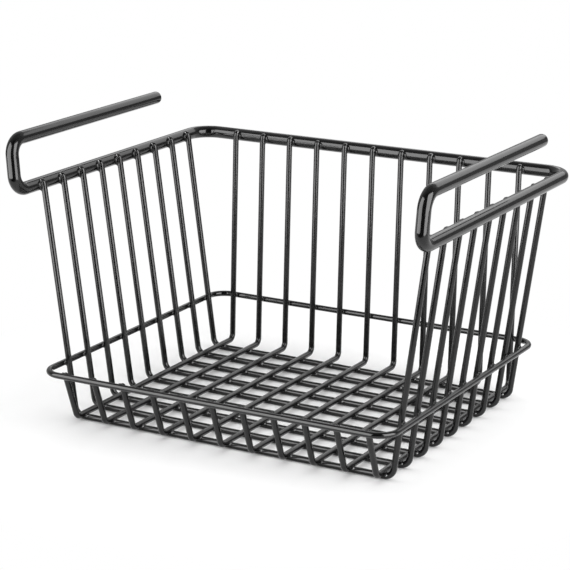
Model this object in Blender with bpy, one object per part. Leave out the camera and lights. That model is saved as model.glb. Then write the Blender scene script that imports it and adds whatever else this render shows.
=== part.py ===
"""Under shelf wire basket, welded from one bent rod, one ring and a mesh of bent wires.

X runs along the back wall to the right, Y runs from the open front to the back, and Z is up.
The origin is on the surface that the basket stands on, midway between its sides.
"""

import math

import bpy
from mathutils import Vector

# Driving dimensions, in metres

# Thickness of the rod and of the wires, with their coating
ROD_DIAMETER = 0.0087
WIRE_DIAMETER = 0.0041

# Clearance between two tubes where they are welded
WELD_GAP = 0.0003

# Rim of the rod, measured between rod centres, and its height over the ground
RIM_WIDTH = 0.2932
RIM_DEPTH = 0.2310
RIM_HEIGHT = 0.1583

# The two arms that lie on the shelf: how far above the rim, how far outwards, how long
ARM_RISE = 0.0335
ARM_SPLAY = 0.0025
ARM_LENGTH = 0.1754

# Bends of the rod, measured at its centre
RISER_BEND_RADIUS = 0.0105
CORNER_BEND_RADIUS = 0.016

# Square mesh: distance between wires, and how far its middle lies in front of the rim's
MESH_PITCH = 0.0225
MESH_SETBACK = 0.0017

# Floor of the mesh, measured at the wire centres where the walls turn up
FLOOR_WIDTH = 0.2387
FLOOR_TO_BACK = 0.103
FLOOR_TO_FRONT = 0.1006
CROSS_BEND_RADIUS = 0.0065
LENGTHWISE_BEND_RADIUS = 0.0045

# Lower ring and the short front upstand that ends at it
RING_HEIGHT = 0.0375
RING_CORNER_RADIUS = 0.013
UPSTAND_LEAN_OUT = 0.0124

# How far a wire's end stands above the middle of the rod or ring that it is welded to
END_ABOVE_RIM = 0.002
END_ABOVE_RING = 0.0008

# Counts
LENGTHWISE_WIRES = 11
CROSS_WIRES = 9
ROD_SIDES = 16
WIRE_SIDES = 12
ROD_BEND_STEPS = 8
WIRE_BEND_STEPS = 5

# A cut and coated end: distances from the tip, and the thickness left there, in radii
END_SHARES = ((0.0, 0.66), (0.12, 0.88), (0.38, 1.0))

# Worked out from the driving dimensions

ROD_RADIUS = ROD_DIAMETER / 2
WIRE_RADIUS = WIRE_DIAMETER / 2
ROD_FLAT = ROD_RADIUS * math.cos(math.pi / ROD_SIDES)
WIRE_FLAT = WIRE_RADIUS * math.cos(math.pi / WIRE_SIDES)

RIM_SIDE = RIM_WIDTH / 2
RIM_BACK = RIM_DEPTH / 2
ARM_HEIGHT = RIM_HEIGHT + ARM_RISE
ARM_SIDE = RIM_SIDE + ARM_SPLAY
ARM_TIP = ARM_LENGTH - RIM_BACK
RISER_LEAN = math.atan(ARM_SPLAY / ARM_RISE)

# The cross wires lie on the ground and carry the lengthwise wires
CROSS_HEIGHT = WIRE_FLAT
LENGTHWISE_HEIGHT = CROSS_HEIGHT + 2 * WIRE_FLAT + WELD_GAP

# A wire is welded to the inside of the rim, and the ring to the outside of the walls
RIM_SEAT = ROD_RADIUS + WIRE_RADIUS + WELD_GAP
RING_SEAT = WIRE_DIAMETER + WELD_GAP


def on_line(low, high, height):
    """The point of the line through low and high, both (across, up), at this height."""
    share = (height - low[1]) / (high[1] - low[1])
    return low[0] + share * (high[0] - low[0])


def seated(low, reach, height, seat):
    """Where a line from low ends beside a rod at (reach, height), a seat away square to it."""
    across, up = reach - low[0], height - low[1]
    tilt = math.atan2(across, up) - math.asin(seat / math.hypot(across, up))
    return low[0] + math.tan(tilt) * up


# The walls as lines (across, up), from the floor bend to the middle of the rim
SIDE_LOW = (FLOOR_WIDTH / 2, CROSS_HEIGHT)
SIDE_HIGH = (seated(SIDE_LOW, RIM_SIDE, RIM_HEIGHT, RIM_SEAT), RIM_HEIGHT)
BACK_LOW = (FLOOR_TO_BACK, LENGTHWISE_HEIGHT)
BACK_HIGH = (seated(BACK_LOW, RIM_BACK, RIM_HEIGHT, RIM_SEAT), RIM_HEIGHT)
FRONT_LOW = (-FLOOR_TO_FRONT, LENGTHWISE_HEIGHT)
FRONT_HIGH = (-FLOOR_TO_FRONT - UPSTAND_LEAN_OUT, RING_HEIGHT)


def beside(low, high, height, seat):
    """How far out a ring at this height lies, a seat away square to the wall line."""
    lean = math.atan2(abs(high[0] - low[0]), high[1] - low[1])
    wall = on_line(low, high, height)
    return wall + math.copysign(seat / math.cos(lean), wall)


RING_SIDE = beside(SIDE_LOW, SIDE_HIGH, RING_HEIGHT, RING_SEAT)
RING_BACK = beside(BACK_LOW, BACK_HIGH, RING_HEIGHT, RING_SEAT)
RING_FRONT = beside(FRONT_LOW, FRONT_HIGH, RING_HEIGHT, RING_SEAT)


def clear_scene():
    """Remove the startup objects."""
    for old in list(bpy.data.objects):
        bpy.data.objects.remove(old, do_unlink=True)


def coating(name, shade, roughness):
    """A dark coating baked on steel."""
    material = bpy.data.materials.new(name)
    material.use_nodes = True
    shader = material.node_tree.nodes["Principled BSDF"]
    shader.inputs["Base Color"].default_value = (shade, shade, shade, 1)
    shader.inputs["Roughness"].default_value = roughness
    shader.inputs["Metallic"].default_value = 0
    return material


def bend(before, corner, after, radius, steps):
    """Points of the arc that rounds one corner of a path."""
    inward = (before - corner).normalized()
    onward = (after - corner).normalized()
    half = inward.angle(onward) / 2
    middle = (inward + onward).normalized()
    centre = corner + middle * (radius / math.sin(half))
    first = corner + inward * (radius / math.tan(half)) - centre
    last = corner + onward * (radius / math.tan(half)) - centre
    turn = first.angle(last)
    points = []
    for step in range(steps + 1):
        along = turn * step / steps
        from_first = math.sin(turn - along) / math.sin(turn)
        from_last = math.sin(along) / math.sin(turn)
        points.append(centre + first * from_first + last * from_last)
    return points


def rounded_path(corners, radii, steps):
    """An open path through these corners, its inner corners rounded."""
    points = [corners[0]]
    for index, radius in enumerate(radii, start=1):
        points += bend(corners[index - 1], corners[index], corners[index + 1], radius, steps)
    return points + [corners[-1]]


def blunt_end(tip, inner, radius):
    """Stations of (point, share of the full thickness) that round off a cut end."""
    inward = (inner - tip).normalized()
    return [(tip + inward * (radius * inset), share) for inset, share in END_SHARES]


def with_ends(path, radius):
    """The path as stations, with both of its ends rounded off."""
    head = blunt_end(path[0], path[1], radius)
    tail = blunt_end(path[-1], path[-2], radius)
    return head + [(point, 1.0) for point in path[1:-1]] + tail[::-1]


def add_tube(name, stations, diameter, sides, material, tilts=None, closed=False):
    """A tube along stations of (point, share), with a flat of its section turned downwards."""
    data = bpy.data.curves.new(name, "CURVE")
    data.dimensions = "3D"
    data.bevel_depth = diameter / 2
    data.bevel_resolution = sides // 2 - 2
    data.use_fill_caps = not closed
    data.materials.append(material)
    spline = data.splines.new("POLY")
    spline.points.add(len(stations) - 1)
    spline.use_cyclic_u = closed
    for index, (point, share) in enumerate(stations):
        spline.points[index].co = (*point, 1)
        spline.points[index].radius = share
        spline.points[index].tilt = math.pi / sides + (tilts[index] if tilts else 0)
    return bpy.data.objects.new(name, data)


def upper_frame(material):
    """One rod: left arm, riser down, three sides of the rim, riser up, right arm."""
    half = [
        Vector((-ARM_SIDE, ARM_TIP, ARM_HEIGHT)),
        Vector((-ARM_SIDE, -RIM_BACK, ARM_HEIGHT)),
        Vector((-RIM_SIDE, -RIM_BACK, RIM_HEIGHT)),
        Vector((-RIM_SIDE, RIM_BACK, RIM_HEIGHT)),
    ]
    corners = half + [Vector((-x, y, z)) for x, y, z in reversed(half)]
    radii = [RISER_BEND_RADIUS, RISER_BEND_RADIUS, CORNER_BEND_RADIUS]
    path = rounded_path(corners, radii + radii[::-1], ROD_BEND_STEPS)
    stations = with_ends(path, ROD_RADIUS)
    # A leaning riser turns the section by twice its lean, and this turns the rim's back
    tilts = [2 * RISER_LEAN * (ARM_HEIGHT - point.z) / ARM_RISE for point, _ in stations]
    return add_tube("upper_frame", stations, ROD_DIAMETER, ROD_SIDES, material, tilts)


def lower_ring(material):
    """A closed ring of wire outside all four walls."""
    corners = [
        Vector((-RING_SIDE, RING_FRONT, RING_HEIGHT)),
        Vector((RING_SIDE, RING_FRONT, RING_HEIGHT)),
        Vector((RING_SIDE, RING_BACK, RING_HEIGHT)),
        Vector((-RING_SIDE, RING_BACK, RING_HEIGHT)),
    ]
    points = []
    for index, corner in enumerate(corners):
        after = corners[(index + 1) % len(corners)]
        points += bend(corners[index - 1], corner, after, RING_CORNER_RADIUS, WIRE_BEND_STEPS)
    stations = [(point, 1.0) for point in points]
    return add_tube("lower_ring", stations, WIRE_DIAMETER, WIRE_SIDES, material, closed=True)


def past(low, high, extra):
    """The end of a wall line, this far above its upper point."""
    height = high[1] + extra
    return on_line(low, high, height), height


def lengthwise_wire(name, x, material):
    """A wire from the front upstand along the floor and up the back wall to the rim."""
    front = past(FRONT_LOW, FRONT_HIGH, END_ABOVE_RING)
    back = past(BACK_LOW, BACK_HIGH, END_ABOVE_RIM)
    corners = [Vector((x, y, z)) for y, z in (front, FRONT_LOW, BACK_LOW, back)]
    path = rounded_path(corners, [LENGTHWISE_BEND_RADIUS] * 2, WIRE_BEND_STEPS)
    stations = with_ends(path, WIRE_RADIUS)
    return add_tube(name, stations, WIRE_DIAMETER, WIRE_SIDES, material)


def cross_wire(name, y, material):
    """A wire from the rim down the left wall, under the floor and up the right wall."""
    end = past(SIDE_LOW, SIDE_HIGH, END_ABOVE_RIM)
    right = [Vector((x, y, z)) for x, z in (SIDE_LOW, end)]
    left = [Vector((-x, y, z)) for x, z in (end, SIDE_LOW)]
    path = rounded_path(left + right, [CROSS_BEND_RADIUS] * 2, WIRE_BEND_STEPS)
    stations = with_ends(path, WIRE_RADIUS)
    return add_tube(name, stations, WIRE_DIAMETER, WIRE_SIDES, material)


def places(count, middle):
    """Evenly spaced places of the mesh's wires about its middle."""
    return [middle + MESH_PITCH * (index - (count - 1) / 2) for index in range(count)]


def basket():
    """Every piece of the basket, in its own collection."""
    rod_coat = coating("rod_coating", 0.022, 0.34)
    wire_coat = coating("wire_coating", 0.018, 0.38)
    pieces = [upper_frame(rod_coat), lower_ring(wire_coat)]
    for index, x in enumerate(places(LENGTHWISE_WIRES, 0), start=1):
        pieces.append(lengthwise_wire(f"lengthwise_wire_{index:02d}", x, wire_coat))
    for index, y in enumerate(places(CROSS_WIRES, -MESH_SETBACK), start=1):
        pieces.append(cross_wire(f"cross_wire_{index:02d}", y, wire_coat))
    collection = bpy.data.collections.new("under_shelf_basket")
    bpy.context.scene.collection.children.link(collection)
    for piece in pieces:
        collection.objects.link(piece)


clear_scene()
basket()
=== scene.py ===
"""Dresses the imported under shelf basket: smooth coated tubes, weld fillets and a studio."""

import math
import random

import bmesh
import bpy
from mathutils import Matrix, Vector


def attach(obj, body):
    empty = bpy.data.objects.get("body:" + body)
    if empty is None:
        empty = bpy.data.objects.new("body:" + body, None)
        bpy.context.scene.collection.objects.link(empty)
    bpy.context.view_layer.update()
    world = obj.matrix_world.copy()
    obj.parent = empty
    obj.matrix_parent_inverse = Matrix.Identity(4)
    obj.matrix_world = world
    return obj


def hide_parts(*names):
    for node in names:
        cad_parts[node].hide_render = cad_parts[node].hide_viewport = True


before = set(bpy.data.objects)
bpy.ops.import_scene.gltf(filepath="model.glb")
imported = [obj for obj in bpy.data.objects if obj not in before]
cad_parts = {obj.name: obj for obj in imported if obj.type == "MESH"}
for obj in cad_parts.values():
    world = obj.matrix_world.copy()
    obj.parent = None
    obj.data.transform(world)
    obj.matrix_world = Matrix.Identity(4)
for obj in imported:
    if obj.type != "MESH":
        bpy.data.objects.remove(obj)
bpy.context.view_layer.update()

# The frame's dimensions, in metres, as its solids have them

ROD_RADIUS = 0.00435
WIRE_RADIUS = 0.00205
WELD_GAP = 0.0003
RIM_SIDE = 0.1466
RIM_BACK = 0.1155
RIM_HEIGHT = 0.1583
ARM_RISE = 0.0335
ARM_SPLAY = 0.0025
ARM_LENGTH = 0.1754
RISER_BEND_RADIUS = 0.0105
CORNER_BEND_RADIUS = 0.016
MESH_PITCH = 0.0225
MESH_SETBACK = 0.0017
FLOOR_SIDE = 0.11935
FLOOR_TO_BACK = 0.103
FLOOR_TO_FRONT = 0.1006
CROSS_BEND_RADIUS = 0.0065
LENGTHWISE_BEND_RADIUS = 0.0045
RING_HEIGHT = 0.0375
RING_CORNER_RADIUS = 0.013
UPSTAND_LEAN_OUT = 0.0124
END_ABOVE_RING = 0.0008
LENGTHWISE_WIRES = 11
CROSS_WIRES = 9

# The floor's wires are pressed into each other by their welds, and the solids only touch
WELDED_APART = 0.0023

# The walls' wires are pressed into the rim by their welds too
SIDE_PRESSED, BACK_PRESSED = 0.0011, 0.0003

# Their tips end this far above the rim's middle, and turn outwards a little on this length
LEFT_ABOVE_RIM, RIGHT_ABOVE_RIM, BACK_ABOVE_RIM = 0.0038, 0.0020, 0.0033
HOOK_LENGTH, HOOK_OUT, HOOK_RADIUS = 0.003, 0.0011, 0.004

# The solids' twelve sides leave a wire's flat a little nearer to its middle than its radius
WIRE_FLAT = WIRE_RADIUS * math.cos(math.pi / 12)

ARM_HEIGHT = RIM_HEIGHT + ARM_RISE
ARM_SIDE = RIM_SIDE + ARM_SPLAY
ARM_TIP = ARM_LENGTH - RIM_BACK
CROSS_HEIGHT = WIRE_FLAT
LENGTHWISE_HEIGHT = CROSS_HEIGHT + WELDED_APART
RIM_SEAT = ROD_RADIUS + WIRE_RADIUS + WELD_GAP
RING_SEAT = 2 * WIRE_RADIUS + WELD_GAP

# Fineness of the tubes
ROD_SIDES = 48
WIRE_SIDES = 28
ROD_BEND_STEPS = 28
WIRE_BEND_STEPS = 16
STEP_ALONG = 0.0075

# A cut end that the coating rounds: share of the radius that stays flat, and how deep it rounds
ROD_END = (0.66, 0.38)
WIRE_END = (0.35, 0.9)
END_STEPS = 6

# The flat of an end has an inner ring, at this share of the flat and of the radius inwards
END_CORE, END_CORE_INSET = 0.5, 0.02

# Fillets of the welds: radius of the ball that rolls round the crossing, and how much of it is
# lost on the side where the wire ends
FLOOR_WELD = (0.0009, 0.0)
RING_WELD = (0.0008, 0.0)
FRONT_WELD = (0.0008, 0.9)
RIM_WELD = (0.0015, 0.85)
WELD_SPREAD = (0.85, 1.2)
WELD_LEAST = 0.0003
WELD_LOSS_POWER = 0.8

# How uneven a fillet is round its loop, and how fine its mesh is
WELD_WAVES = 3
WELD_WAVE_SIZE = 0.09
WELD_LOOP = 40
WELD_ARC = 6

# A fillet touches down a little inside both tubes, and its skirt and its caps end deeper in them
WELD_SEAT = 0.992
WELD_SINK = 0.0005
WELD_CORE = 0.4

# Beads of coating beside each crossing of the floor, to its right and its front
BEAD_RADIUS = 0.0010
BEAD_RIGHT, BEAD_FRONT, BEAD_UP = 0.0028, 0.0018, 0.0012
BEAD_SPREAD = (0.8, 1.15)
BEAD_RIGHT_SPREAD = (0.9, 1.12)
BEAD_FRONT_SPREAD = (0.85, 1.15)
BEAD_UP_SPREAD = (0.7, 1.3)
BEAD_SQUASH = (0.75, 0.95)
BEAD_SIDES = 12
BEAD_ROWS = 7

# A cap of coating on each wire's upper tip
CAP_RADIUS = 0.0018
CAP_DROP = 0.0005
CAP_SPREAD = (0.85, 1.1)
CAP_SQUASH = (0.6, 0.8)

ALONG_X = Vector((1, 0, 0))
ALONG_Y = Vector((0, 1, 0))
dice = random.Random(17)


def on_line(low, high, height):
    """The place across at this height of the line through low and high, both (across, up)."""
    share = (height - low[1]) / (high[1] - low[1])
    return low[0] + share * (high[0] - low[0])


def seated(low, reach, height, seat):
    """Where a line from low ends beside a rod at (reach, height), a seat away square to it."""
    across, up = reach - low[0], height - low[1]
    tilt = math.atan2(across, up) - math.asin(seat / math.hypot(across, up))
    return low[0] + math.tan(tilt) * up


def beside(low, high, height, seat):
    """How far out a ring at this height lies, a seat away square to the wall line."""
    lean = math.atan2(abs(high[0] - low[0]), high[1] - low[1])
    wall = on_line(low, high, height)
    return wall + math.copysign(seat / math.cos(lean), wall)


def places(count, middle):
    """Evenly spaced places of the mesh's wires about its middle."""
    return [middle + MESH_PITCH * (index - (count - 1) / 2) for index in range(count)]


# The lines of the walls, as (across, up)
SIDE_LOW = (FLOOR_SIDE, CROSS_HEIGHT)
SIDE_HIGH = (seated(SIDE_LOW, RIM_SIDE, RIM_HEIGHT, RIM_SEAT), RIM_HEIGHT)
SIDE_TOP = (SIDE_HIGH[0] + SIDE_PRESSED, RIM_HEIGHT)
BACK_LOW = (FLOOR_TO_BACK, LENGTHWISE_HEIGHT)
BACK_HIGH = (seated(BACK_LOW, RIM_BACK, RIM_HEIGHT, RIM_SEAT), RIM_HEIGHT)
BACK_TOP = (BACK_HIGH[0] + BACK_PRESSED, RIM_HEIGHT)
FRONT_LOW = (-FLOOR_TO_FRONT, LENGTHWISE_HEIGHT)
FRONT_HIGH = (-FLOOR_TO_FRONT - UPSTAND_LEAN_OUT, RING_HEIGHT)

RING_SIDE = beside(SIDE_LOW, SIDE_HIGH, RING_HEIGHT, RING_SEAT)
RING_BACK = beside(BACK_LOW, BACK_HIGH, RING_HEIGHT, RING_SEAT)
RING_FRONT = beside(FRONT_LOW, FRONT_HIGH, RING_HEIGHT, RING_SEAT)

LENGTHWISE_PLACES = places(LENGTHWISE_WIRES, 0)
CROSS_PLACES = places(CROSS_WIRES, -MESH_SETBACK)


# Paths

def bend(before, corner, after, radius, steps):
    """Points of the arc that rounds one corner of a path."""
    inward = (before - corner).normalized()
    onward = (after - corner).normalized()
    half = inward.angle(onward) / 2
    centre = corner + (inward + onward).normalized() * (radius / math.sin(half))
    first = corner + inward * (radius / math.tan(half)) - centre
    last = corner + onward * (radius / math.tan(half)) - centre
    turn = first.angle(last)
    points = []
    for step in range(steps + 1):
        along = turn * step / steps
        from_first = math.sin(turn - along) / math.sin(turn)
        from_last = math.sin(along) / math.sin(turn)
        points.append(centre + first * from_first + last * from_last)
    return points


def rounded_path(corners, radii, steps):
    """An open path through these corners, its inner corners rounded."""
    points = [corners[0]]
    for index, radius in enumerate(radii, start=1):
        points += bend(corners[index - 1], corners[index], corners[index + 1], radius, steps)
    return points + [corners[-1]]


def subdivided(points):
    """The same path with no step longer than STEP_ALONG."""
    made = [points[0]]
    for before, after in zip(points, points[1:]):
        parts = max(1, math.ceil((after - before).length / STEP_ALONG))
        made += [before.lerp(after, part / parts) for part in range(1, parts + 1)]
    return made


def rounded_end(tip, inner, radius, end):
    """Stations of (point, share of the full thickness) from a cut end inwards."""
    flat, depth = end
    inward = (inner - tip).normalized()
    made = [(tip + inward * (radius * END_CORE_INSET), flat * END_CORE)]
    for step in range(END_STEPS + 1):
        turn = math.pi / 2 * step / END_STEPS
        inset = radius * depth * (1 - math.cos(turn))
        made.append((tip + inward * inset, flat + (1 - flat) * math.sin(turn)))
    return made


def with_ends(path, radius, end):
    """The path as stations, with both of its ends rounded."""
    head = rounded_end(path[0], path[1], radius, end)
    tail = rounded_end(path[-1], path[-2], radius, end)
    return head + [(point, 1.0) for point in subdivided(path)[1:-1]] + tail[::-1]


# Meshes

def finished(name, mesh):
    """A smooth mesh object of this bmesh, linked to the scene."""
    bmesh.ops.recalc_face_normals(mesh, faces=mesh.faces)
    data = bpy.data.meshes.new(name)
    mesh.to_mesh(data)
    mesh.free()
    data.polygons.foreach_set("use_smooth", [True] * len(data.polygons))
    piece = bpy.data.objects.new(name, data)
    bpy.context.scene.collection.objects.link(piece)
    return piece


def sweep(name, stations, radius, sides, closed=False):
    """A round tube along stations of (point, share), with its own lay in attribute "lie"."""
    points = [point for point, _ in stations]
    count = len(points)
    tangents = []
    for index in range(count):
        before = points[index - 1] if closed or index else points[0]
        after = points[(index + 1) % count] if closed or index < count - 1 else points[-1]
        tangents.append((after - before).normalized())
    side = tangents[0].orthogonal().normalized()
    along = 0.0
    mesh = bmesh.new()
    lie = mesh.loops.layers.float_vector.new("lie")
    rings, lays = [], []
    for index, (point, share) in enumerate(stations):
        if index:
            side.rotate(tangents[index - 1].rotation_difference(tangents[index]))
            along += (point - points[index - 1]).length
        up = tangents[index].cross(side)
        ring, lay = [], []
        for step in range(sides):
            turn = 2 * math.pi * step / sides
            around = side * math.cos(turn) + up * math.sin(turn)
            ring.append(mesh.verts.new(point + around * (radius * share)))
            lay.append(Vector((radius * math.cos(turn), radius * math.sin(turn), along)))
        rings.append(ring)
        lays.append(lay)
    if closed:
        along += (points[0] - points[-1]).length
        rings.append(rings[0])
        lays.append([Vector((lay.x, lay.y, along)) for lay in lays[0]])
    for index in range(len(rings) - 1):
        for step in range(sides):
            spots = [(index, step), (index, (step + 1) % sides),
                     (index + 1, (step + 1) % sides), (index + 1, step)]
            face = mesh.faces.new([rings[a][b] for a, b in spots])
            for loop, (a, b) in zip(face.loops, spots):
                loop[lie] = lays[a][b]
    if not closed:
        for end in (0, -1):
            middle = mesh.verts.new(points[end])
            for step in range(sides):
                pair = [step, (step + 1) % sides][:: 1 if end else -1]
                face = mesh.faces.new([middle] + [rings[end][b] for b in pair])
                spots = [Vector((0, 0, lays[end][0].z))] + [lays[end][b] for b in pair]
                for loop, spot in zip(face.loops, spots):
                    loop[lie] = spot
    return finished(name, mesh)


def add_weld(mesh, first, second, weld, reach):
    """A rolling ball's fillet all round the place where two crossing tubes touch.

    A tube is (point, direction, radius), and a weld is (radius of the ball, share of it that is
    lost on the side that the second tube's direction points to, where that tube ends). Reach is
    how far the fillet may rise in that direction above the crossing.
    """
    fillet, loss = weld
    fillet *= dice.uniform(*WELD_SPREAD)
    point_a, along_a, radius_a = first
    point_b, along_b, radius_b = second
    gap = point_b - point_a
    apart = gap.length
    up = gap.normalized()
    along_a = (along_a - up * along_a.dot(up)).normalized()
    along_b = (along_b - up * along_b.dot(up)).normalized()
    radius_a, radius_b = radius_a * WELD_SEAT, radius_b * WELD_SEAT
    waves = [(dice.uniform(-1, 1), dice.uniform(0, 2 * math.pi)) for _ in range(WELD_WAVES)]
    rows = []
    for step in range(WELD_LOOP):
        turn = 2 * math.pi * step / WELD_LOOP
        ball = fillet * (1 - loss * max(0.0, math.sin(turn)) ** WELD_LOSS_POWER)
        ball *= 1 + sum(WELD_WAVE_SIZE * size * math.sin((n + 1) * turn + shift)
                        for n, (size, shift) in enumerate(waves))
        ball = max(ball, WELD_LEAST)
        high, low = radius_a + ball, apart - radius_b - ball
        level = (high + low) / 2 + (high - low) / 2 * math.cos(2 * turn)
        x = math.sqrt(max(0.0, (radius_b + ball) ** 2 - (apart - level) ** 2))
        y = math.sqrt(max(0.0, (radius_a + ball) ** 2 - level ** 2))
        x, y = math.copysign(x, math.cos(turn)), math.copysign(y, math.sin(turn))
        centre = Vector((x, y, level))
        to_a = -Vector((0, y, level)) / (radius_a + ball)
        to_b = Vector((-x, 0, apart - level)) / (radius_b + ball)
        open_angle = to_a.angle(to_b)
        row = [centre + to_a * (ball + WELD_SINK)]
        for part in range(WELD_ARC + 1):
            share = part / WELD_ARC
            way = (to_a * math.sin((1 - share) * open_angle)
                   + to_b * math.sin(share * open_angle)) / math.sin(open_angle)
            row.append(centre + way * ball)
        row.append(centre + to_b * (ball + WELD_SINK))
        rows.append(row)
    rise = max(spot.y for row in rows for spot in row)
    for spot in (spot for row in rows for spot in row if spot.y > 0):
        spot.y *= min(1.0, reach / rise)
    place = Matrix((along_a, along_b, up)).transposed()
    verts = [[mesh.verts.new(point_a + place @ spot) for spot in row] for row in rows]
    cap_a = mesh.verts.new(point_a + place @ Vector((0, 0, radius_a * WELD_CORE)))
    cap_b = mesh.verts.new(point_a + place @ Vector((0, 0, apart - radius_b * WELD_CORE)))
    for step in range(WELD_LOOP):
        here, there = verts[step], verts[(step + 1) % WELD_LOOP]
        for part in range(len(here) - 1):
            mesh.faces.new([here[part], there[part], there[part + 1], here[part + 1]])
        mesh.faces.new([cap_a, there[0], here[0]])
        mesh.faces.new([cap_b, here[-1], there[-1]])


def add_bead(mesh, centre, radius, squash):
    """A small rounded bead of coating, flattened by squash along Z."""
    rows = []
    for row in range(1, BEAD_ROWS):
        drop = math.pi * row / BEAD_ROWS
        ring = []
        for step in range(BEAD_SIDES):
            turn = 2 * math.pi * step / BEAD_SIDES
            way = Vector((math.sin(drop) * math.cos(turn), math.sin(drop) * math.sin(turn),
                          math.cos(drop) * squash))
            ring.append(mesh.verts.new(centre + way * radius))
        rows.append(ring)
    top = mesh.verts.new(centre + Vector((0, 0, radius * squash)))
    foot = mesh.verts.new(centre - Vector((0, 0, radius * squash)))
    for step in range(BEAD_SIDES):
        after = (step + 1) % BEAD_SIDES
        mesh.faces.new([top, rows[0][step], rows[0][after]])
        mesh.faces.new([foot, rows[-1][after], rows[-1][step]])
        for upper, lower in zip(rows, rows[1:]):
            mesh.faces.new([upper[step], lower[step], lower[after], upper[after]])


# Materials

# Colour of the coating between its dark and its light streaks, and the share of blue in it
COAT_DARK, COAT_LIGHT, COAT_BLUE = 0.003, 0.006, 1.02

# The coatings: roughness, depth of the streaks and index of refraction
ROD_COATING = (0.12, 0.00002, 1.5)
WIRE_COATING = (0.12, 0.00005, 1.5)
BEAD_COATING = (0.07, 0.00002, 2.6)

# Noises, as (scale, detail, roughness): streaks, patches of more and less gloss, orange peel
STREAK_NOISE = (1.0, 3.0, 0.6)
PATCH_NOISE = (160.0, 3.0, 0.55)
PEEL_NOISE = (320.0, 2.0, 0.5)

# The streaks are this much finer than a metre around and along the tube
STREAK_FINENESS = (900, 900, 150)
STREAK_STRENGTH = 0.5

# How far the roughness moves with the patches, between these two levels of their noise
PATCH_LOW, PATCH_HIGH = 0.3, 0.7
PATCH_GLOSSIER, PATCH_ROUGHER = 0.03, 0.05

PEEL_STRENGTH, PEEL_DEPTH = 0.06, 0.00004


def node_of(tree, kind, **settings):
    """A shader node with these settings, where a key names an attribute or an input."""
    node = tree.nodes.new(kind)
    for key, value in settings.items():
        if hasattr(node, key):
            setattr(node, key, value)
        else:
            node.inputs[key.replace("_", " ")].default_value = value
    return node


def noise(tree, vector, look):
    """A noise of (scale, detail, roughness) over this vector."""
    scale, detail, roughness = look
    made = node_of(tree, "ShaderNodeTexNoise", Scale=scale, Detail=detail, Roughness=roughness)
    tree.links.new(vector, made.inputs["Vector"])
    return made.outputs["Fac"]


def ranged(tree, value, start, end, low, high, **settings):
    """A value between start and end, mapped to between low and high."""
    made = node_of(tree, "ShaderNodeMapRange", **settings)
    for key, number in zip(("From Min", "From Max", "To Min", "To Max"), (start, end, low, high)):
        made.inputs[key].default_value = number
    tree.links.new(value, made.inputs["Value"])
    return made.outputs["Result"]


def bumped(tree, height, strength, distance, before=None):
    """A normal with this bump, on top of the one before it."""
    made = node_of(tree, "ShaderNodeBump", Strength=strength, Distance=distance)
    tree.links.new(height, made.inputs["Height"])
    if before:
        tree.links.new(before, made.inputs["Normal"])
    return made.outputs["Normal"]


def coating(name, rough, streak_depth, ior):
    """Black coating: fine orange peel, faint streaks along the tube, uneven gloss."""
    material = bpy.data.materials.new(name)
    material.use_nodes = True
    tree = material.node_tree
    link = tree.links.new
    shader = tree.nodes["Principled BSDF"]
    shader.inputs["IOR"].default_value = ior
    lie = node_of(tree, "ShaderNodeAttribute", attribute_name="lie")
    place = tree.nodes.new("ShaderNodeNewGeometry").outputs["Position"]

    stretch = node_of(tree, "ShaderNodeVectorMath", operation="MULTIPLY")
    stretch.inputs[1].default_value = STREAK_FINENESS
    link(lie.outputs["Vector"], stretch.inputs[0])
    streaks = noise(tree, stretch.outputs[0], STREAK_NOISE)
    patches = noise(tree, place, PATCH_NOISE)
    peel = noise(tree, place, PEEL_NOISE)

    shade = tree.nodes.new("ShaderNodeMix")
    shade.data_type = "RGBA"
    for socket, level in zip((6, 7), (COAT_DARK, COAT_LIGHT)):
        shade.inputs[socket].default_value = (level, level, level * COAT_BLUE, 1)
    link(streaks, shade.inputs[0])
    link(shade.outputs[2], shader.inputs["Base Color"])

    gloss = ranged(tree, patches, PATCH_LOW, PATCH_HIGH,
                   rough - PATCH_GLOSSIER, rough + PATCH_ROUGHER)
    link(gloss, shader.inputs["Roughness"])

    grain = bumped(tree, peel, PEEL_STRENGTH, PEEL_DEPTH)
    link(bumped(tree, streaks, STREAK_STRENGTH, streak_depth, grain), shader.inputs["Normal"])
    return material


rod_coat = coating("rod_satin_black", *ROD_COATING)
wire_coat = coating("wire_satin_black", *WIRE_COATING)
bead_coat = coating("bead_gloss_black", *BEAD_COATING)
for node_name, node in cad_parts.items():
    node.material_slots[0].material = rod_coat if node_name == "upper_frame" else wire_coat


# Pieces

def dress(piece, node_name, material):
    """The piece takes the place and the finish of a CAD node."""
    piece.data.materials.append(material)
    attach(piece, "root")
    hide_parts(node_name)


def coated_wire(node_name, corners, radii):
    """A wire through these corners, with these bends, in place of a CAD node."""
    stations = with_ends(rounded_path(corners, radii, WIRE_BEND_STEPS), WIRE_RADIUS, WIRE_END)
    wire = sweep(f"coated_{node_name}", stations, WIRE_RADIUS, WIRE_SIDES)
    dress(wire, node_name, wire_coat)


def small_piece(name, add, items, material):
    """One piece that holds what add makes of each item."""
    mesh = bmesh.new()
    lie = mesh.loops.layers.float_vector.new("lie")
    for item in items:
        add(mesh, *item)
    for face in mesh.faces:
        for loop in face.loops:
            loop[lie] = loop.vert.co
    piece = finished(name, mesh)
    piece.data.materials.append(material)
    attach(piece, "root")


# Rod, ring and wires

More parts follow.
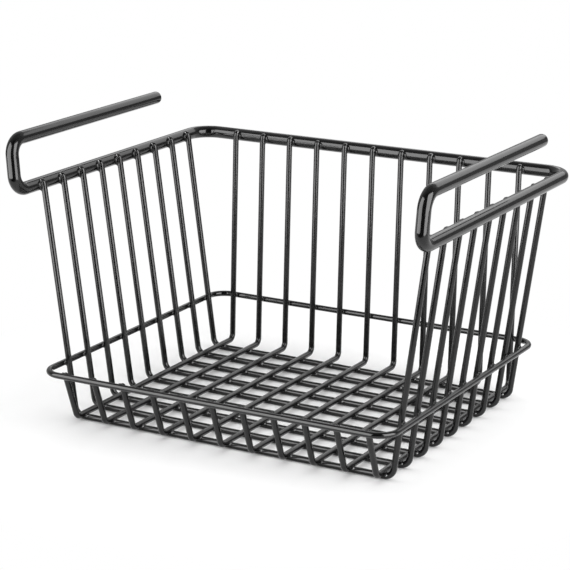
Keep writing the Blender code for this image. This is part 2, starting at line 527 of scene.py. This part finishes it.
arm_half = [
    Vector((-ARM_SIDE, ARM_TIP, ARM_HEIGHT)),
    Vector((-ARM_SIDE, -RIM_BACK, ARM_HEIGHT)),
    Vector((-RIM_SIDE, -RIM_BACK, RIM_HEIGHT)),
    Vector((-RIM_SIDE, RIM_BACK, RIM_HEIGHT)),
]
rod_corners = arm_half + [Vector((-x, y, z)) for x, y, z in reversed(arm_half)]
rod_radii = [RISER_BEND_RADIUS, RISER_BEND_RADIUS, CORNER_BEND_RADIUS]
rod_path = rounded_path(rod_corners, rod_radii + rod_radii[::-1], ROD_BEND_STEPS)
rod = sweep("coated_upper_frame", with_ends(rod_path, ROD_RADIUS, ROD_END), ROD_RADIUS, ROD_SIDES)
dress(rod, "upper_frame", rod_coat)

ring_corners = [
    Vector((-RING_SIDE, RING_FRONT, RING_HEIGHT)),
    Vector((RING_SIDE, RING_FRONT, RING_HEIGHT)),
    Vector((RING_SIDE, RING_BACK, RING_HEIGHT)),
    Vector((-RING_SIDE, RING_BACK, RING_HEIGHT)),
]
ring_points = []
for index, corner in enumerate(ring_corners):
    after = ring_corners[(index + 1) % len(ring_corners)]
    ring_points += bend(
        ring_corners[index - 1], corner, after, RING_CORNER_RADIUS, WIRE_BEND_STEPS
    )
ring_points = subdivided(ring_points + ring_points[:1])[:-1]
ring = sweep(
    "coated_lower_ring", [(p, 1.0) for p in ring_points], WIRE_RADIUS, WIRE_SIDES, closed=True
)
dress(ring, "lower_ring", wire_coat)


def past(low, high, extra):
    """The end of a wall line, this far above its upper point."""
    height = high[1] + extra
    return on_line(low, high, height), height


def hooked(low, high, extra):
    """The last two corners of a wall's wire, whose tip turns a little outwards."""
    knee, tip = past(low, high, extra - HOOK_LENGTH), past(low, high, extra)
    return [knee, (tip[0] + HOOK_OUT, tip[1])]


front_end = past(FRONT_LOW, FRONT_HIGH, END_ABOVE_RING)
back_tip = hooked(BACK_LOW, BACK_TOP, BACK_ABOVE_RIM)
left_tip = hooked(SIDE_LOW, SIDE_TOP, LEFT_ABOVE_RIM)
right_tip = hooked(SIDE_LOW, SIDE_TOP, RIGHT_ABOVE_RIM)

for index, x in enumerate(LENGTHWISE_PLACES, start=1):
    corners = [Vector((x, y, z)) for y, z in [front_end, FRONT_LOW, BACK_LOW] + back_tip]
    radii = [LENGTHWISE_BEND_RADIUS, LENGTHWISE_BEND_RADIUS, HOOK_RADIUS]
    coated_wire(f"lengthwise_wire_{index:02d}", corners, radii)

for index, y in enumerate(CROSS_PLACES, start=1):
    left = [Vector((-x, y, z)) for x, z in left_tip[::-1] + [SIDE_LOW]]
    right = [Vector((x, y, z)) for x, z in [SIDE_LOW] + right_tip]
    radii = [HOOK_RADIUS, CROSS_BEND_RADIUS, CROSS_BEND_RADIUS, HOOK_RADIUS]
    coated_wire(f"cross_wire_{index:02d}", left + right, radii)


# Welds, beads and caps of coating

def wall_foot(low, high, reach, height):
    """The point of a wall line nearest to (reach, height), and the line's direction."""
    across, up = high[0] - low[0], high[1] - low[1]
    size = math.hypot(across, up)
    way = (across / size, up / size)
    along = (reach - low[0]) * way[0] + (height - low[1]) * way[1]
    return (low[0] + way[0] * along, low[1] + way[1] * along), way


def floor_joint(x, y):
    """The weld of a lengthwise wire to a cross wire."""
    cross = (Vector((x, y, CROSS_HEIGHT)), ALONG_X, WIRE_RADIUS)
    lengthwise = (Vector((x, y, LENGTHWISE_HEIGHT)), ALONG_Y, WIRE_RADIUS)
    return cross, lengthwise, FLOOR_WELD, math.inf


def side_joint(y, sign, reach, height, radius, weld, top=math.inf):
    """A weld of a side wire to a tube that runs from front to back.

    It rises to this top above the tube's middle at the most.
    """
    (across, up), way = wall_foot(SIDE_LOW, SIDE_TOP, reach, height)
    tube = (Vector((sign * reach, y, height)), ALONG_Y, radius)
    wire = (Vector((sign * across, y, up)), Vector((sign * way[0], 0, way[1])), WIRE_RADIUS)
    return tube, wire, weld, top - (up - height)


def row_joint(x, low, high, reach, height, radius, weld, top=math.inf):
    """A weld of a front or back wire to a tube that runs from left to right."""
    (across, up), way = wall_foot(low, high, reach, height)
    tube = (Vector((x, reach, height)), ALONG_X, radius)
    wire = (Vector((x, across, up)), Vector((0, way[0], way[1])), WIRE_RADIUS)
    return tube, wire, weld, top - (up - height)


def floor_bead(x, y):
    """The bead of coating beside the crossing at (x, y)."""
    radius = BEAD_RADIUS * dice.uniform(*BEAD_SPREAD)
    spot = Vector((x + BEAD_RIGHT * dice.uniform(*BEAD_RIGHT_SPREAD),
                   y - BEAD_FRONT * dice.uniform(*BEAD_FRONT_SPREAD),
                   CROSS_HEIGHT + BEAD_UP * dice.uniform(*BEAD_UP_SPREAD)))
    return spot, radius, dice.uniform(*BEAD_SQUASH)


def cap(x, y, z):
    """The cap of coating on a wire's tip at this place."""
    radius = CAP_RADIUS * dice.uniform(*CAP_SPREAD)
    return Vector((x, y, z - CAP_DROP)), radius, dice.uniform(*CAP_SQUASH)


floor_crossings = [(x, y) for x in LENGTHWISE_PLACES for y in CROSS_PLACES]
ring_joints = [
    side_joint(y, sign, RING_SIDE, RING_HEIGHT, WIRE_RADIUS, RING_WELD)
    for y in CROSS_PLACES for sign in (-1, 1)
]
ring_joints += [
    row_joint(x, BACK_LOW, BACK_TOP, RING_BACK, RING_HEIGHT, WIRE_RADIUS, RING_WELD)
    for x in LENGTHWISE_PLACES
]
ring_joints += [
    row_joint(x, FRONT_LOW, FRONT_HIGH, RING_FRONT, RING_HEIGHT, WIRE_RADIUS, FRONT_WELD)
    for x in LENGTHWISE_PLACES
]
rim_joints = [
    side_joint(y, sign, RIM_SIDE, RIM_HEIGHT, ROD_RADIUS, RIM_WELD, above)
    for y in CROSS_PLACES for sign, above in ((-1, LEFT_ABOVE_RIM), (1, RIGHT_ABOVE_RIM))
]
rim_joints += [
    row_joint(x, BACK_LOW, BACK_TOP, RIM_BACK, RIM_HEIGHT, ROD_RADIUS, RIM_WELD, BACK_ABOVE_RIM)
    for x in LENGTHWISE_PLACES
]
small_piece("floor_welds", add_weld, [floor_joint(x, y) for x, y in floor_crossings], wire_coat)
small_piece("ring_welds", add_weld, ring_joints, wire_coat)
small_piece("rim_welds", add_weld, rim_joints, wire_coat)
small_piece("floor_beads", add_bead, [floor_bead(x, y) for x, y in floor_crossings], bead_coat)
caps = [cap(x, *back_tip[-1]) for x in LENGTHWISE_PLACES]
caps += [cap(-left_tip[-1][0], y, left_tip[-1][1]) for y in CROSS_PLACES]
caps += [cap(right_tip[-1][0], y, right_tip[-1][1]) for y in CROSS_PLACES]
small_piece("tip_caps", add_bead, caps, bead_coat)

# Studio

# White floor, which turns to plain white for the camera between these two reaches
ALBEDO = 0.96
FLOOR_REACH = 9.0
FLOOR_SIDES = 96
NEAR_REACH, FAR_REACH = 0.14, 0.28

# White table that the object stands on, as gloss shows it
TABLE_CORNERS = ((-1.1, -0.45), (0.40, -0.30), (1.0, 0.9), (-1.0, 0.9))
TABLE_HEIGHT = 0.0004

# The way from the camera to the back of the studio
BACK_WAY = Vector((-0.49, 0.87, 0.0)).normalized()

# The dim room round the table, as gloss shows it: its levels in front and behind, and the
# places between which it changes, as shares of its reach along BACK_WAY
ROOM_REACH = 3.5
ROOM_COLUMNS, ROOM_ROWS = 72, 36
ROOM_FRONT, ROOM_BACK = 0.01, 0.26
ROOM_FRONT_END, ROOM_BACK_END = -0.5, 0.1

# The pale backdrop on the room's back: how far up it starts and ends, as shares of the reach,
# and the shares to the right and along BACK_WAY from which it counts
BACKDROP_LEVEL = 0.5
BACKDROP_FOOT_LEFT, BACKDROP_FOOT_RIGHT, BACKDROP_TOP = 0.13, 0.31, 0.85
BACKDROP_RIGHT_FROM, BACKDROP_BACK_FROM = 0.1, 0.3

# Ambient light in front and behind, which changes within this share of BACK_WAY
FRONT_AMBIENT, BACK_AMBIENT = 0.55, 1.5
AMBIENT_CHANGE = 0.3

# Soft lamps: name, place, target, width, height, radiance, and whether gloss shows them or
# they light the rest
SOFTBOXES = (
    ("left_panel", (-0.41, -0.75, 0.475), (0.07, 0.13, 0.475), 0.95, 1.15, 5.4, True),
    ("right_panel", (0.985, -0.075, 0.465), (0.225, 0.575, 0.465), 1.12, 1.27, 6.3, True),
    ("back_panel", (0.0, 2.1, 1.32), (0, 0, 0.1), 2.8, 0.9, 1.3, True),
    ("right_fill", (1.49, -0.18, 0.75), (0, 0, 0), 1.1, 1.2, 3.6, False),
)


def stage_object(name, mesh, material):
    """A piece of the studio made from this bmesh."""
    data = bpy.data.meshes.new(name)
    mesh.to_mesh(data)
    mesh.free()
    data.materials.append(material)
    made = bpy.data.objects.new(name, data)
    bpy.context.scene.collection.objects.link(made)
    return made


def only_in_gloss(piece):
    """The coating reflects this piece, and nothing else is changed by it."""
    piece.visible_camera = False
    piece.visible_diffuse = False
    piece.visible_transmission = False
    piece.visible_shadow = False


def bare_material(name):
    """A new material, its empty node tree and the socket for its surface."""
    material = bpy.data.materials.new(name)
    material.use_nodes = True
    tree = material.node_tree
    tree.nodes.clear()
    return material, tree, tree.nodes.new("ShaderNodeOutputMaterial").inputs["Surface"]


def seen_rays(tree):
    """A socket that is 1 for camera, glossy and transmission rays and 0 for all others."""
    path = tree.nodes.new("ShaderNodeLightPath")
    seen = path.outputs["Is Camera Ray"]
    for kind in ("Is Glossy Ray", "Is Transmission Ray"):
        either = node_of(tree, "ShaderNodeMath", operation="MAXIMUM")
        tree.links.new(seen, either.inputs[0])
        tree.links.new(path.outputs[kind], either.inputs[1])
        seen = either.outputs[0]
    return seen


def backness(tree, vector):
    """How far this vector goes along BACK_WAY."""
    dot = node_of(tree, "ShaderNodeVectorMath", operation="DOT_PRODUCT")
    dot.inputs[1].default_value = BACK_WAY
    tree.links.new(vector, dot.inputs[0])
    return dot.outputs["Value"]


def mixed(tree, share, first, second, surface):
    """The surface shows the first shader where the share is 0, and the second where it is 1."""
    mix = tree.nodes.new("ShaderNodeMixShader")
    for source, socket in zip((share, first.outputs[0], second.outputs[0]), mix.inputs):
        tree.links.new(source, socket)
    tree.links.new(mix.outputs[0], surface)


def studio_floor():
    """A white floor that keeps the shadows near the object and is plain white further out."""
    material, tree, surface = bare_material("white_paper")
    paper = node_of(tree, "ShaderNodeBsdfDiffuse", Color=(ALBEDO, ALBEDO, ALBEDO, 1))
    white = tree.nodes.new("ShaderNodeEmission")
    place = tree.nodes.new("ShaderNodeNewGeometry")
    reach = node_of(tree, "ShaderNodeVectorMath", operation="LENGTH")
    tree.links.new(place.outputs["Position"], reach.inputs[0])
    far = ranged(tree, reach.outputs["Value"], NEAR_REACH, FAR_REACH, 0, 1,
                 interpolation_type="SMOOTHSTEP")
    blend = node_of(tree, "ShaderNodeMath", operation="MULTIPLY")
    tree.links.new(far, blend.inputs[0])
    tree.links.new(seen_rays(tree), blend.inputs[1])
    mixed(tree, blend.outputs[0], paper, white, surface)
    mesh = bmesh.new()
    bmesh.ops.create_circle(mesh, cap_ends=True, segments=FLOOR_SIDES, radius=FLOOR_REACH)
    floor = stage_object("studio_floor", mesh, material)
    floor.visible_glossy = False
    mesh = bmesh.new()
    mesh.faces.new([mesh.verts.new((x, y, TABLE_HEIGHT)) for x, y in TABLE_CORNERS])
    only_in_gloss(stage_object("studio_table", mesh, material))


def studio_room():
    """The dim room round the table, with a pale backdrop behind it."""
    dim, tree, surface = bare_material("dim_room")
    place = tree.nodes.new("ShaderNodeNewGeometry")
    level = ranged(tree, backness(tree, place.outputs["Position"]),
                   ROOM_FRONT_END * ROOM_REACH, ROOM_BACK_END * ROOM_REACH,
                   ROOM_FRONT, ROOM_BACK, interpolation_type="SMOOTHSTEP")
    glow = tree.nodes.new("ShaderNodeEmission")
    tree.links.new(level, glow.inputs["Strength"])
    tree.links.new(glow.outputs[0], surface)
    pale, tree, surface = bare_material("pale_backdrop")
    shine = node_of(tree, "ShaderNodeEmission", Strength=BACKDROP_LEVEL)
    tree.links.new(shine.outputs[0], surface)
    mesh = bmesh.new()
    bmesh.ops.create_uvsphere(
        mesh, u_segments=ROOM_COLUMNS, v_segments=ROOM_ROWS, radius=ROOM_REACH
    )
    for face in mesh.faces:
        way = face.calc_center_median().normalized()
        flat_way = Vector((way.x, way.y, 0)).normalized()
        foot = BACKDROP_FOOT_RIGHT if way.x > BACKDROP_RIGHT_FROM else BACKDROP_FOOT_LEFT
        if flat_way.dot(BACK_WAY) > BACKDROP_BACK_FROM and foot < way.z < BACKDROP_TOP:
            face.material_index = 1
    room = stage_object("studio_room", mesh, dim)
    room.data.materials.append(pale)
    only_in_gloss(room)


def studio_world():
    """Soft ambient light, brighter behind the object than in front, and white to the eye."""
    world = bpy.data.worlds.new("studio_world")
    bpy.context.scene.world = world
    world.use_nodes = True
    tree = world.node_tree
    tree.nodes.clear()
    surface = tree.nodes.new("ShaderNodeOutputWorld").inputs["Surface"]
    way = tree.nodes.new("ShaderNodeTexCoord")
    level = ranged(tree, backness(tree, way.outputs["Generated"]),
                   -AMBIENT_CHANGE, AMBIENT_CHANGE, FRONT_AMBIENT, BACK_AMBIENT,
                   interpolation_type="SMOOTHSTEP")
    soft = node_of(tree, "ShaderNodeBackground", Color=(1, 1, 1, 1))
    tree.links.new(level, soft.inputs["Strength"])
    white = node_of(tree, "ShaderNodeBackground", Color=(1, 1, 1, 1), Strength=1.0)
    mixed(tree, seen_rays(tree), soft, white, surface)


def softbox(name, place, target, width, height, radiance, gloss):
    """A rectangular area lamp, turned to its target, that gloss shows or that lights the rest."""
    data = bpy.data.lights.new(name, "AREA")
    data.shape = "RECTANGLE"
    data.size, data.size_y = width, height
    data.energy = radiance * math.pi * width * height
    lamp = bpy.data.objects.new(name, data)
    bpy.context.scene.collection.objects.link(lamp)
    lamp.location = place
    lamp.rotation_mode = "QUATERNION"
    lamp.rotation_quaternion = (Vector(target) - Vector(place)).to_track_quat("-Z", "Y")
    lamp.visible_camera = False
    lamp.visible_glossy = gloss
    lamp.visible_diffuse = not gloss


studio_floor()
studio_room()
studio_world()
for box in SOFTBOXES:
    softbox(*box)

# Camera, fitted to the photograph

AZIMUTH, ELEVATION, ROLL = math.radians(29.330), math.radians(15.723), math.radians(0.183)
CAMERA_PLACE = (0.665185, -1.200950, 0.473649)
FOCAL_PIXELS = 2113.167
PICTURE_PIXELS = 570
SENSOR_WIDTH = 36
CLIP_START, CLIP_END = 0.05, 100

back = Vector((
    math.sin(AZIMUTH) * math.cos(ELEVATION),
    -math.cos(AZIMUTH) * math.cos(ELEVATION),
    math.sin(ELEVATION),
))
right = (-back).cross(Vector((0, 0, 1))).normalized()
up = right.cross(-back).normalized()
rolled_right = right * math.cos(ROLL) + up * math.sin(ROLL)
rolled_up = up * math.cos(ROLL) - right * math.sin(ROLL)
camera_data = bpy.data.cameras.new("photo_camera")
camera_data.sensor_width = SENSOR_WIDTH
camera_data.lens = FOCAL_PIXELS * SENSOR_WIDTH / PICTURE_PIXELS
camera_data.clip_start, camera_data.clip_end = CLIP_START, CLIP_END
camera = bpy.data.objects.new("photo_camera", camera_data)
bpy.context.scene.collection.objects.link(camera)
turn = Matrix((rolled_right, rolled_up, back)).transposed().to_4x4()
camera.matrix_world = Matrix.Translation(CAMERA_PLACE) @ turn
bpy.context.scene.camera = camera
bpy.context.scene.view_settings.view_transform = "Standard"
